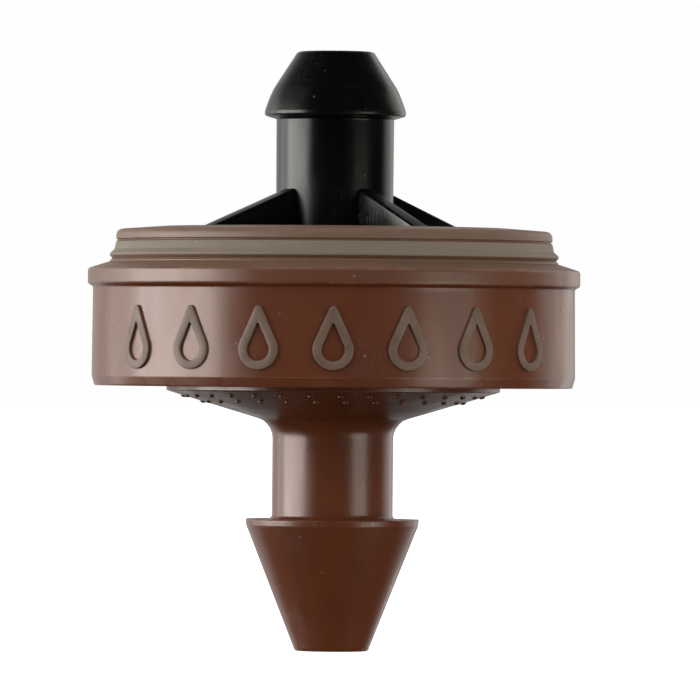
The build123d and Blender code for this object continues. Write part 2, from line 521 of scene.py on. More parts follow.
def handling_group() -> bpy.types.NodeTree:
    """Build the group for traces of handling: hair scratches and settled dust specks.

    Returns:
        The new group.
    """
    group, build, given, result = new_group(
        "handling",
        [
            ("Vector", "NodeSocketVector", 0.0),
            ("Scratch Scale", "NodeSocketFloat", 900.0),
            ("Speck Scale", "NodeSocketFloat", 2600.0),
        ],
        ["Scratches", "Specks"],
    )
    vector = given.outputs["Vector"]
    layers = []
    for turn, squeeze in (((0.3, 0.2, 0.5), (1.0, 9.0, 9.0)), ((-0.4, 0.6, -0.7), (9.0, 9.0, 1.1))):
        mapping = build.add("ShaderNodeMapping", vector_type="POINT")
        mapping.inputs["Rotation"].default_value = turn
        mapping.inputs["Scale"].default_value = squeeze
        build.link(vector, mapping.inputs["Vector"])
        streak = build.noise(mapping.outputs["Vector"], given.outputs["Scratch Scale"], 1.0, 0.3)
        line = build.maths("ABSOLUTE", build.maths("SUBTRACT", streak, 0.5))
        layers.append(build.ramp(line, 0.0, 0.008, 1.0, 0.0))
    wide_scale = build.maths("MULTIPLY", given.outputs["Scratch Scale"], 0.45)
    where = build.ramp(build.noise(vector, wide_scale, 2.0), 0.52, 0.62)
    both = build.maths("MAXIMUM", layers[0], layers[1])
    build.link(build.maths("MULTIPLY", both, where), result.inputs["Scratches"])
    cells = build.add("ShaderNodeTexVoronoi", feature="F1")
    build.link(vector, cells.inputs["Vector"])
    build.link(given.outputs["Speck Scale"], cells.inputs["Scale"])
    spot = build.ramp(cells.outputs["Distance"], 0.06, 0.16, 1.0, 0.0)
    rare = build.add("ShaderNodeSeparateColor")
    build.link(cells.outputs["Color"], rare.inputs[0])
    kept = build.maths("GREATER_THAN", rare.outputs[0], 0.86)
    build.link(build.maths("MULTIPLY", spot, kept), result.inputs["Specks"])
    return group


@dataclass(frozen=True)
class Effects:
    """The shader node groups that several finishes share."""

    skin: bpy.types.NodeTree
    rubbed: bpy.types.NodeTree
    handling: bpy.types.NodeTree

    @classmethod
    def build(cls) -> "Effects":
        """Build each group once."""
        return cls(mould_skin_group(), rubbed_edge_group(), handling_group())


# ---- finishes -----------------------------------------------------------------------------------------------------


@dataclass(frozen=True)
class MouldedFinish:
    """A moulded plastic or rubber: colours, gloss, skin, blasted parts and how much handling shows."""

    name: str
    colour: Colour
    deep: Colour
    rubbed: Colour
    roughness: float
    roughness_drift: float
    frost: Colour = (0.275, 0.222, 0.160)
    frost_roughness: float = 0.62
    specular: float = 0.5
    grain_scale: float = 5200.0
    grain_share: float = 0.25
    ripple_scale: float = 520.0
    mottle_scale: float = 330.0
    blast_scale: float = 26000.0
    blast_height_mm: float = 0.04
    skin_height_mm: float = 0.008
    scratch_height_mm: float = 0.002
    scratch_dulling: float = 0.12
    rub_amount: float = 0.5
    speck_amount: float = 0.35
    speck_colour: Colour = (0.55, 0.52, 0.47)
    scatter: float = 0.0
    scatter_radius_mm: Colour = (0.6, 0.3, 0.2)

    def material(self, effects: Effects) -> bpy.types.Material:
        """Build the node material of this finish.

        Args:
            effects: The shared node groups.

        Returns:
            The new material.
        """
        material = bpy.data.materials.new(self.name)
        material.use_nodes = True
        material.node_tree.nodes.clear()
        build = NodeTree(material.node_tree)
        place = build.add("ShaderNodeTexCoord").outputs["Object"]
        skin = self.placed(build, effects.skin, place)
        for name, value in (
            ("Grain Scale", self.grain_scale), ("Grain Share", self.grain_share),
            ("Ripple Scale", self.ripple_scale), ("Mottle Scale", self.mottle_scale),
            ("Blast Scale", self.blast_scale),
        ):
            skin.inputs[name].default_value = value
        rubbed = self.placed(build, effects.rubbed, place)
        edge = build.add("ShaderNodeAttribute", attribute_name=Trace.EDGE.value)
        build.link(edge.outputs["Fac"], rubbed.inputs["Edge"])
        rubbed.inputs["Amount"].default_value = self.rub_amount
        handling = self.placed(build, effects.handling, place)
        frost = build.add("ShaderNodeAttribute", attribute_name=Trace.FROST.value).outputs["Fac"]

        body = build.blend(skin.outputs["Mottle"], self.colour, self.deep)
        body = build.blend(frost, body, self.frost)
        body = build.blend(rubbed.outputs["Mask"], body, self.rubbed)
        dusty = build.maths("MULTIPLY", handling.outputs["Specks"], self.speck_amount)
        body = build.blend(dusty, body, self.speck_colour)

        drift = build.ramp(
            skin.outputs["Gloss Drift"], 0.0, 1.0,
            self.roughness - self.roughness_drift, self.roughness + self.roughness_drift,
        )
        step = build.maths("MULTIPLY", frost, build.maths("SUBTRACT", self.frost_roughness, drift))
        dull = build.maths("ADD", drift, step)
        dull = build.maths("MULTIPLY_ADD", handling.outputs["Scratches"], self.scratch_dulling, dull, clamp=True)

        scratch_share = self.scratch_height_mm / self.skin_height_mm
        height = build.maths(
            "MULTIPLY_ADD", handling.outputs["Scratches"], -scratch_share, skin.outputs["Height"])
        blast_share = self.blast_height_mm / self.skin_height_mm
        blasted = build.maths("MULTIPLY", build.maths("MULTIPLY", frost, skin.outputs["Blast"]), blast_share)
        height = build.maths("ADD", height, blasted)
        bump = build.add("ShaderNodeBump")
        bump.inputs["Strength"].default_value = 1.0
        bump.inputs["Distance"].default_value = self.skin_height_mm * MM
        build.link(height, bump.inputs["Height"])

        shader = build.add("ShaderNodeBsdfPrincipled")
        build.link(body, shader.inputs["Base Color"])
        build.link(dull, shader.inputs["Roughness"])
        build.link(bump.outputs["Normal"], shader.inputs["Normal"])
        shader.inputs["Specular IOR Level"].default_value = self.specular
        shader.inputs["Subsurface Weight"].default_value = self.scatter
        shader.inputs["Subsurface Radius"].default_value = self.scatter_radius_mm
        shader.inputs["Subsurface Scale"].default_value = MM
        output = build.add("ShaderNodeOutputMaterial")
        build.link(shader.outputs[0], output.inputs["Surface"])
        return material

    @staticmethod
    def placed(build: NodeTree, group: bpy.types.NodeTree, place: bpy.types.NodeSocket) -> bpy.types.Node:
        """Add a shared group to a material and feed it the surface's place.

        Args:
            build: The material's node builder.
            group: The shared group.
            place: The socket of the surface's place.

        Returns:
            The group's node.
        """
        node = build.add("ShaderNodeGroup", node_tree=group)
        build.link(place, node.inputs["Vector"])
        return node


BROWN = MouldedFinish(
    name="brown_moulding",
    colour=(0.172, 0.049, 0.0190),
    deep=(0.142, 0.038, 0.0145),
    rubbed=(0.30, 0.15, 0.10),
    roughness=0.30,
    roughness_drift=0.04,
    specular=0.6,
)
BROWN_FROSTED = MouldedFinish(
    name="brown_frosted_marks",
    colour=(0.185, 0.115, 0.078),
    deep=(0.155, 0.090, 0.060),
    rubbed=(0.30, 0.21, 0.16),
    roughness=0.58,
    roughness_drift=0.05,
    rub_amount=0.6,
)
BLACK = MouldedFinish(
    name="black_moulding",
    colour=(0.0014, 0.0019, 0.0016),
    deep=(0.0008, 0.0011, 0.0009),
    rubbed=(0.020, 0.022, 0.020),
    roughness=0.27,
    roughness_drift=0.04,
    specular=0.37,
    speck_amount=0.12,
)
NATURAL = MouldedFinish(
    name="natural_moulding",
    colour=(0.62, 0.59, 0.50),
    deep=(0.55, 0.52, 0.43),
    rubbed=(0.70, 0.68, 0.60),
    roughness=0.38,
    roughness_drift=0.05,
    scatter=0.35,
)
SILICONE = MouldedFinish(
    name="silicone_rubber",
    colour=(0.40, 0.38, 0.33),
    deep=(0.33, 0.31, 0.27),
    rubbed=(0.46, 0.44, 0.40),
    roughness=0.55,
    roughness_drift=0.06,
    scatter=0.5,
    scatter_radius_mm=(1.0, 0.8, 0.6),
    speck_amount=0.5,
)


@dataclass(frozen=True)
class Palette:
    """The finished materials that the pieces share."""

    brown: bpy.types.Material
    marks: bpy.types.Material
    black: bpy.types.Material
    natural: bpy.types.Material
    silicone: bpy.types.Material

    @classmethod
    def build(cls, effects: Effects) -> "Palette":
        """Build each finish's material once."""
        return cls(
            BROWN.material(effects), BROWN_FROSTED.material(effects), BLACK.material(effects),
            NATURAL.material(effects), SILICONE.material(effects),
        )


# ---- geometry node trees ------------------------------------------------------------------------------------------


class CopyTree:
    """A Geometry Nodes tree that sets copies of one mark in a ring, or along an arc bent round a wall."""

    def __init__(self, name: str, bent: bool) -> None:
        """Build the tree.

        Args:
            name: The tree's name.
            bent: True to wrap flat copies round a wall, False to turn whole copies about the axis.
        """
        self.group = bpy.data.node_groups.new(name, "GeometryNodeTree")
        self.group.is_modifier = True
        face = self.group.interface
        face.new_socket("Geometry", in_out="INPUT", socket_type="NodeSocketGeometry")
        for title, kind in (
            ("Mark", "NodeSocketObject"), ("Count", "NodeSocketInt"), ("First Angle", "NodeSocketFloat"),
            ("Step Angle", "NodeSocketFloat"), ("Radius", "NodeSocketFloat"), ("Height", "NodeSocketFloat"),
            ("Taper", "NodeSocketFloat"), ("Lean", "NodeSocketFloat"), ("Size Drift", "NodeSocketFloat"),
            ("Seed", "NodeSocketInt"), ("Finish", "NodeSocketMaterial"),
        ):
            face.new_socket(title, in_out="INPUT", socket_type=kind)
        face.new_socket("Geometry", in_out="OUTPUT", socket_type="NodeSocketGeometry")
        self.build = NodeTree(self.group)
        self.given = self.build.add("NodeGroupInput")
        self.result = self.build.add("NodeGroupOutput")
        copies = self.bent_copies() if bent else self.turned_copies()
        finish = self.build.add("GeometryNodeSetMaterial")
        self.build.link(copies, finish.inputs["Geometry"])
        self.build.link(self.given.outputs["Finish"], finish.inputs["Material"])
        self.build.link(finish.outputs["Geometry"], self.result.inputs["Geometry"])

    def angle(self, index: bpy.types.NodeSocket) -> bpy.types.NodeSocket:
        """Return the angle of the copy with that index."""
        given = self.given.outputs
        return self.build.maths("MULTIPLY_ADD", index, given["Step Angle"], given["First Angle"])

    def vector(self, x: object, y: object, z: object) -> bpy.types.NodeSocket:
        """Combine three values into a vector.

        Args:
            x: The first value, a socket or a number.
            y: The second value.
            z: The third value.

        Returns:
            The vector's socket.
        """
        node = self.build.add("ShaderNodeCombineXYZ")
        for value, socket in zip((x, y, z), node.inputs):
            self.build.feed(value, socket)
        return node.outputs[0]

    def instances(self, position: bpy.types.NodeSocket, rotation: bpy.types.NodeSocket | None) -> bpy.types.NodeSocket:
        """Set the mark on points, with a small seeded drift in size, and realize the copies.

        Args:
            position: Place of each copy.
            rotation: Turn of each copy, or None to leave them flat.

        Returns:
            The copies' socket.
        """
        build, given = self.build, self.given
        points = build.add("GeometryNodePoints")
        build.link(given.outputs["Count"], points.inputs["Count"])
        build.link(position, points.inputs["Position"])
        mark = build.add("GeometryNodeObjectInfo", transform_space="ORIGINAL")
        build.link(given.outputs["Mark"], mark.inputs["Object"])
        drift = build.add("FunctionNodeRandomValue", data_type="FLOAT")
        low, high = (s for s in drift.inputs if s.name in ("Min", "Max") and s.type == "VALUE")
        build.link(build.maths("SUBTRACT", 1.0, given.outputs["Size Drift"]), low)
        build.link(build.maths("ADD", 1.0, given.outputs["Size Drift"]), high)
        build.link(given.outputs["Seed"], drift.inputs["Seed"])
        size = next(s for s in drift.outputs if s.type == "VALUE")
        copies = build.add("GeometryNodeInstanceOnPoints")
        build.link(points.outputs[0], copies.inputs["Points"])
        build.link(mark.outputs["Geometry"], copies.inputs["Instance"])
        if rotation is not None:
            build.link(rotation, copies.inputs["Rotation"])
        build.link(size, copies.inputs["Scale"])
        solid = build.add("GeometryNodeRealizeInstances")
        build.link(copies.outputs[0], solid.inputs[0])
        return solid.outputs[0]

    def turned_copies(self) -> bpy.types.NodeSocket:
        """Turn whole copies about the Z axis, each leaning by the given angle.

        Returns:
            The copies' socket.
        """
        build, given = self.build, self.given
        angle = self.angle(build.add("GeometryNodeInputIndex").outputs[0])
        across = build.maths("MULTIPLY", build.maths("COSINE", angle), given.outputs["Radius"])
        along = build.maths("MULTIPLY", build.maths("SINE", angle), given.outputs["Radius"])
        return self.instances(
            self.vector(across, along, given.outputs["Height"]), self.vector(0.0, given.outputs["Lean"], angle))

    def bent_copies(self) -> bpy.types.NodeSocket:
        """Lay copies flat in a row and wrap the row round a wall: x becomes the arc, z the way out.

        Returns:
            The copies' socket.
        """
        build, given = self.build, self.given
        pitch = build.maths("MULTIPLY", given.outputs["Step Angle"], given.outputs["Radius"])
        row = build.maths("MULTIPLY", build.add("GeometryNodeInputIndex").outputs[0], pitch)
        flat = self.instances(self.vector(row, 0.0, 0.0), None)
        spot = build.add("ShaderNodeSeparateXYZ")
        build.link(build.add("GeometryNodeInputPosition").outputs[0], spot.inputs[0])
        turned = build.maths("DIVIDE", spot.outputs[0], given.outputs["Radius"])
        angle = build.maths("ADD", turned, given.outputs["First Angle"])
        wall = build.maths("ADD", given.outputs["Radius"], spot.outputs[2])
        reach = build.maths("MULTIPLY_ADD", spot.outputs[1], given.outputs["Taper"], wall)
        place = self.vector(
            build.maths("MULTIPLY", build.maths("COSINE", angle), reach),
            build.maths("MULTIPLY", build.maths("SINE", angle), reach),
            build.maths("ADD", spot.outputs[1], given.outputs["Height"]),
        )
        moved = build.add("GeometryNodeSetPosition")
        build.link(flat, moved.inputs["Geometry"])
        build.link(place, moved.inputs["Position"])
        return moved.outputs[0]

    def made(self, name: str, mark: bpy.types.Mesh, finish: bpy.types.Material, **values: float) -> bpy.types.Mesh:
        """Run the tree once and return what it makes as a plain mesh, in millimetres.

        Args:
            name: The new mesh's name.
            mark: The mesh that is copied, in millimetres.
            finish: The material set on the copies.
            values: The tree's other inputs, by name with underscores for spaces.

        Returns:
            The realized copies.
        """
        source = bpy.data.objects.new(name + "_mark", mark)
        carrier = bpy.data.objects.new(name + "_carrier", bpy.data.meshes.new(name + "_carrier"))
        for item in (source, carrier):
            bpy.context.scene.collection.objects.link(item)
        modifier = carrier.modifiers.new(name, "NODES")
        modifier.node_group = self.group
        given: dict[str, object] = {key.replace("_", " "): value for key, value in values.items()}
        given |= {"Mark": source, "Finish": finish}
        for socket in self.group.interface.items_tree:
            if socket.in_out == "INPUT" and socket.name in given:
                modifier[socket.identifier] = given[socket.name]
        carrier.update_tag()
        bpy.context.view_layer.update()
        evaluated = carrier.evaluated_get(bpy.context.evaluated_depsgraph_get())
        mesh = bpy.data.meshes.new_from_object(evaluated)
        mesh.name = name
        carrier.modifiers.remove(modifier)
        for item in (carrier, source):
            bpy.data.objects.remove(item)
        mesh.shade_smooth()
        mesh.set_sharp_from_angle(angle=math.radians(HARD_TURN_DEG))
        return mesh


@dataclass(frozen=True)
class Arrays:
    """The two geometry node trees that the pieces share."""

    ring: CopyTree
    wall: CopyTree

    @classmethod
    def build(cls) -> "Arrays":
        """Build each tree once."""
        return cls(CopyTree("ring of copies", bent=False), CopyTree("copies round a wall", bent=True))


# ---- pieces -------------------------------------------------------------------------------------------------------


def near_angle(angle: float, target: float) -> float:
    """Return the smallest difference between two angles, in radians."""
    return abs((angle - target + math.pi) % (2 * math.pi) - math.pi)


def seam_ridge(angle: float, radius: float, width: float, height: float) -> float:
    """Return the height of the fine parting ridge that two mould halves leave at both sides."""
    away = min(near_angle(angle, 0.0), near_angle(angle, math.pi)) * radius
    return height * math.exp(-((away / width) ** 2))


@dataclass
class InletBase:
    """Inlet barb, shank, underside cone and inner disc, in one moulding, with rings of fine pips on the cone."""

    bore_r: float = 0.90
    tip_r: float = 1.3565
    tip_z: float = -8.11
    land_r: float = 3.17
    land_z: float = -3.46
    top_r: float = 3.20
    top_z: float = -3.23
    shank_r: float = 2.22
    cone_root_z: float = 0.32
    cone_root_round: float = 0.75
    cone_slope: float = 0.30
    cone_rim_r: float = 6.18
    floor_top_z: float = 2.32
    disc_r: float = 7.84
    disc_top_z: float = 3.02
    filter_seat_r: float = 3.40
    filter_seat_z: float = 2.60
    basin_r: float = 2.60
    basin_z: float = 1.60
    tip_round: float = 0.12
    land_round: float = 0.04
    shank_foot_round: float = 0.16
    ridge_height: float = 0.018
    pip_rings: tuple[tuple[float, int], ...] = ((5.55, 32), (4.85, 28))
    pip_r: float = 0.11
    pip_flatness: float = 0.62
    pip_rows: int = 8
    pip_spokes: int = 14
    pip_size_drift: float = 0.06
    pip_first_turn: float = 0.05

    def relief(self, angle: float, radius: float, height: float) -> float:
        """Give the parting ridge on the shank and barb.

        Args:
            angle: Angle round the axis, in radians.
            radius: Distance from the axis.
            height: Height on the axis.

        Returns:
            How far the surface stands out.
        """
        if not self.tip_z + RIDGE_CLEARANCE <= height <= self.cone_root_z or radius < self.tip_r:
            return 0.0
        return seam_ridge(angle, radius, RIDGE_WIDTH, self.ridge_height)

    def make(self, palette: Palette, arrays: Arrays) -> list[bpy.types.Object]:
        """Build the moulding and its rings of pips.

        Args:
            palette: The finished materials.
            arrays: The copy trees.

        Returns:
            The finished pieces.
        """
        rim_z = self.cone_root_z + self.cone_slope * (self.cone_rim_r - self.shank_r)
        corners = [
            Corner(self.bore_r, self.tip_z, FINE_ROUND),
            Corner(self.tip_r, self.tip_z, self.tip_round),
            Corner(self.land_r, self.land_z, self.land_round),
            Corner(self.top_r, self.top_z, FINE_ROUND),
            Corner(self.shank_r, self.top_z, self.shank_foot_round),
            Corner(self.shank_r, self.cone_root_z, self.cone_root_round),
            Corner(self.cone_rim_r, rim_z, FINE_ROUND),
            Corner(self.cone_rim_r, self.floor_top_z),
            Corner(self.disc_r, self.floor_top_z),
            Corner(self.disc_r, self.disc_top_z),
            Corner(self.filter_seat_r, self.disc_top_z),
            Corner(self.filter_seat_r, self.filter_seat_z),
            Corner(self.basin_r, self.filter_seat_z),
            Corner(self.basin_r, self.basin_z),
            Corner(self.bore_r, self.basin_z),
        ]
        name = "inlet_base_moulding"
        mesh = turned_mesh(name, corners, self.relief)
        pieces = [fixed_piece(name, mesh, palette.brown, "inlet_base")]
        lean = -(math.atan(self.cone_slope) + math.pi)
        for number, (ring_r, count) in enumerate(self.pip_rings, start=1):
            name = f"cone_pips_{number}"
            height = self.cone_root_z + self.cone_slope * (ring_r - self.shank_r)
            mesh = arrays.ring.made(
                name, self.pip_mesh(), palette.brown, Count=count, First_Angle=self.pip_first_turn * number,
                Step_Angle=2 * math.pi / count, Radius=ring_r, Height=height, Lean=lean,
                Size_Drift=self.pip_size_drift, Seed=number,
            )
            pieces.append(fixed_piece(name, mesh, None))
        return pieces

    def pip_mesh(self) -> bpy.types.Mesh:
        """Build one pip, a flattened ball that sits half in the cone.

        Returns:
            The pip's mesh, in millimetres.
        """
        spokes, rise = self.pip_spokes, self.pip_r * self.pip_flatness
        turns = [math.pi / 2 + 2 * math.pi * spoke / spokes for spoke in range(spokes)]
        verts = [(0.0, 0.0, rise)]
        for row in range(1, self.pip_rows):
            slant = math.pi * row / self.pip_rows
            across, height = self.pip_r * math.sin(slant), rise * math.cos(slant)
            verts += [(across * math.cos(turn), across * math.sin(turn), height) for turn in turns]
        verts.append((0.0, 0.0, -rise))
        foot = len(verts) - 1
        faces: list[tuple[int, ...]] = []
        for spoke in range(spokes):
            after = (spoke + 1) % spokes
            faces.append((0, 1 + spoke, 1 + after))
            for here in range(1, foot - spokes, spokes):
                there = here + spokes
                faces.append((here + spoke, there + spoke, there + after, here + after))
            faces.append((foot, foot - spokes + after, foot - spokes + spoke))
        mesh = bpy.data.meshes.new("pip")
        mesh.from_pydata(verts, [], faces)
        return mesh


@dataclass
class DropMark:
    """A generic water-drop outline, raised from a wall."""

    height: float = 2.40
    bowl_r: float = 0.74
    stroke: float = 0.32
    rise: float = 0.11
    sunk: float = 0.12
    shoulder: float = 0.04
    tip_round: float = 0.14
    tip_reach: float = 0.9
    least_tip_r: float = 0.02
    tip_inset_share: float = 0.3
    edge_share: float = 0.3
    arc_steps: int = 30
    tip_steps: int = 5

    def outline(self, inset: float) -> list[tuple[float, float]]:
        """Return the drop's closed outline, moved inwards by an inset.

        Args:
            inset: How far inside the outer outline it runs.

        Returns:
            Points from one side of the tip round the bowl to the other.
        """
        bowl_y = self.bowl_r - self.height / 2
        apex_y = self.height / 2 + self.tip_round * self.tip_reach
        half_angle = math.asin(self.bowl_r / (apex_y - bowl_y))
        radius = self.bowl_r - inset
        apex = apex_y - inset / math.sin(half_angle)
        tip_r = max(self.least_tip_r, self.tip_round - inset * self.tip_inset_share)
        tip_y = apex - tip_r / math.sin(half_angle)
        points: list[tuple[float, float]] = []
        for step in range(self.arc_steps + 1):
            angle = math.pi - half_angle + (math.pi + 2 * half_angle) * step / self.arc_steps
            points.append((radius * math.cos(angle), bowl_y + radius * math.sin(angle)))
        for step in range(self.tip_steps + 1):
            angle = half_angle + (math.pi - 2 * half_angle) * step / self.tip_steps
            points.append((tip_r * math.cos(angle), tip_y + tip_r * math.sin(angle)))
        return points

    def mesh(self) -> bpy.types.Mesh:
        """Build the closed, bevelled outline, with its face along local +Z.

        Returns:
            The mark's mesh, in millimetres, with its edge rub attribute.
        """
        edge = self.shoulder * self.edge_share
        loops = [
            (self.outline(0.0), -self.sunk, 0.0),
            (self.outline(0.0), self.rise - self.shoulder, 0.2),
            (self.outline(edge), self.rise - edge, 1.0),
            (self.outline(self.shoulder), self.rise, 0.6),
            (self.outline(self.stroke - self.shoulder), self.rise, 0.6),
            (self.outline(self.stroke - edge), self.rise - edge, 1.0),
            (self.outline(self.stroke), self.rise - self.shoulder, 0.2),
            (self.outline(self.stroke), -self.sunk, 0.0),
        ]
        size = len(loops[0][0])
        verts = [(x, y, z) for outline, z, _ in loops for x, y in outline]
        faces = []
        for ring in range(len(loops)):
            here, there = ring * size, (ring + 1) % len(loops) * size
            for index in range(size):
                after = (index + 1) % size
                faces.append((here + index, here + after, there + after, there + index))
        mesh = bpy.data.meshes.new("drop_mark")
        mesh.from_pydata(verts, [], faces)
        rub = mesh.attributes.new(Trace.EDGE.value, "FLOAT", "POINT")
        rub.data.foreach_set("value", [value for _, _, value in loops for _ in range(size)])
        shape = bmesh.new()
        shape.from_mesh(mesh)
        bmesh.ops.recalc_face_normals(shape, faces=shape.faces)
        shape.to_mesh(mesh)
        shape.free()
        return mesh


@dataclass
class BodyShell:
    """The cup: floor, tall skirt with its marks, flange, sloped shoulder and collar."""

    opening_r: float = 6.22
    bore_r: float = 7.88
    bottom_z: float = 1.67
    floor_z: float = 2.32
    foot_r: float = 8.85
    foot_round: float = 0.06
    bevel_z: float = 2.03
    skirt_bottom_r: float = 8.955
    skirt_top_r: float = 8.925
    skirt_top_z: float = 5.33
    flange_r: float = 9.12
    flange_bottom_z: float = 5.43
    flange_top_z: float = 6.00
    flange_round: float = 0.13
    flange_frost: float = 0.12
    shoulder_frost: float = 0.35
    bevel_round: float = 0.20
    skirt_top_round: float = 0.10
    collar_r: float = 8.31
    collar_round: float = 0.01
    shoulder_z: float = 6.26
    collar_top_z: float = 6.38
    seam: float = 0.09
    wall_rows: int = 16
    mark_z: float = 3.50
    mark_count: int = 7
    mark_step_deg: float = 17.6
    gate_z: float = 2.55
    gate_r: float = 0.42
    gate_depth: float = 0.05
    gate_steepness: int = 6
    mark: DropMark = field(default_factory=DropMark)

    def relief(self, angle: float, radius: float, height: float) -> float:
        """Give the gate mark's shallow dish at the back of the skirt.

        Args:
            angle: Angle round the axis, in radians.
            radius: Distance from the axis.
            height: Height on the axis.

        Returns:
            How far the surface stands out, which is below zero in the dish.
        """
        if radius < self.foot_r or not self.bevel_z < height < self.skirt_top_z:
            return 0.0
        away = math.hypot(near_angle(angle, math.pi / 2) * radius, height - self.gate_z)
        return -self.gate_depth * math.exp(-((away / self.gate_r) ** self.gate_steepness))

    def make(self, palette: Palette, arrays: Arrays) -> list[bpy.types.Object]:
        """Build the shell and both rows of marks.

        Args:
            palette: The finished materials.
            arrays: The copy trees.

        Returns:
            The finished pieces.
        """
        tall = self.skirt_top_z - self.bevel_z
        taper = (self.skirt_top_r - self.skirt_bottom_r) / tall
        heights = [self.bevel_z + tall * row / self.wall_rows for row in range(1, self.wall_rows)]
        wall = [Corner(self.skirt_bottom_r + taper * (height - self.bevel_z), height) for height in heights]
        corners = [
            Corner(self.opening_r, self.bottom_z, FINE_ROUND),
            Corner(self.foot_r, self.bottom_z, self.foot_round),
            Corner(self.skirt_bottom_r, self.bevel_z, self.bevel_round),
            *wall,
            Corner(self.skirt_top_r, self.skirt_top_z, self.skirt_top_round),
            Corner(self.flange_r, self.flange_bottom_z, self.flange_round, self.flange_frost),
            Corner(self.flange_r, self.flange_top_z, self.flange_round, self.shoulder_frost),
            Corner(self.collar_r, self.shoulder_z, self.collar_round, SOFT_FROST),
            Corner(self.collar_r, self.collar_top_z - self.seam, self.collar_round, SOFT_FROST),
            Corner(self.collar_r - self.seam, self.collar_top_z),
            Corner(self.bore_r, self.collar_top_z),
            Corner(self.bore_r, self.floor_z),
            Corner(self.opening_r, self.floor_z),
        ]
        name = "body_shell_moulding"
        mesh = turned_mesh(name, corners, self.relief)
        pieces = [fixed_piece(name, mesh, palette.brown, "body_shell")]
        mark_r = self.skirt_bottom_r + taper * (self.mark_z - self.bevel_z)
        step = math.radians(self.mark_step_deg)
        for side, middle in (("front", -math.pi / 2), ("back", math.pi / 2)):
            name = f"skirt_marks_{side}"
            mesh = arrays.wall.made(
                name, self.mark.mesh(), palette.marks, Count=self.mark_count,
                First_Angle=middle - step * (self.mark_count - 1) / 2, Step_Angle=step, Radius=mark_r,
                Height=self.mark_z, Taper=taper, Size_Drift=0.0, Seed=1,
            )
            pieces.append(fixed_piece(name, mesh, None))
        return pieces


@dataclass
class RetainingRing:
    """The welded ring: foot, frosted band, fine groove and bevelled top."""

    bore_r: float = 7.88
    bottom_z: float = 6.38
    foot_r: float = 8.31
    foot_top_z: float = 6.56
    band_r: float = 8.14
    band_z: float = 6.71
    waist_r: float = 8.08
    seam: float = 0.09
    groove_z: float = 7.05
    groove_half: float = 0.05
    groove_depth: float = 0.07
    shoulder_z: float = 7.45
    shoulder_round: float = 0.24
    opening_r: float = 6.30
    top_z: float = 7.58
    under_z: float = 7.02
    foot_round: float = 0.03
    foot_top_round: float = 0.04
    groove_round: float = 0.02
    opening_round: float = 0.10
    groove_frost: float = 0.3
    waist_frost: float = 0.5
    top_frost: float = 0.45
    opening_frost: float = 0.3

    def make(self, palette: Palette) -> list[bpy.types.Object]:
        """Build the ring.

        Args:
            palette: The finished materials.

        Returns:
            The finished piece, in a list.
        """
        corners = [
            Corner(self.bore_r, self.bottom_z),
            Corner(self.foot_r - self.seam, self.bottom_z, 0.0, SOFT_FROST),
            Corner(self.foot_r, self.bottom_z + self.seam, self.foot_round, FULL_FROST),
            Corner(self.foot_r, self.foot_top_z, self.foot_top_round, FULL_FROST),
            Corner(self.band_r, self.band_z, FINE_ROUND, FULL_FROST),
            Corner(self.waist_r, self.groove_z - self.groove_half, self.groove_round, self.groove_frost),
            Corner(self.waist_r - self.groove_depth, self.groove_z, self.groove_round, self.groove_frost),
            Corner(self.waist_r, self.groove_z + self.groove_half, self.groove_round, self.waist_frost),
            Corner(self.waist_r, self.shoulder_z, self.shoulder_round, self.top_frost),
            Corner(self.opening_r, self.top_z, self.opening_round, self.opening_frost),
            Corner(self.opening_r, self.under_z),
            Corner(self.bore_r, self.under_z),
        ]
        name = "retaining_ring_moulding"
        return [fixed_piece(name, turned_mesh(name, corners), palette.brown, "retaining_ring")]


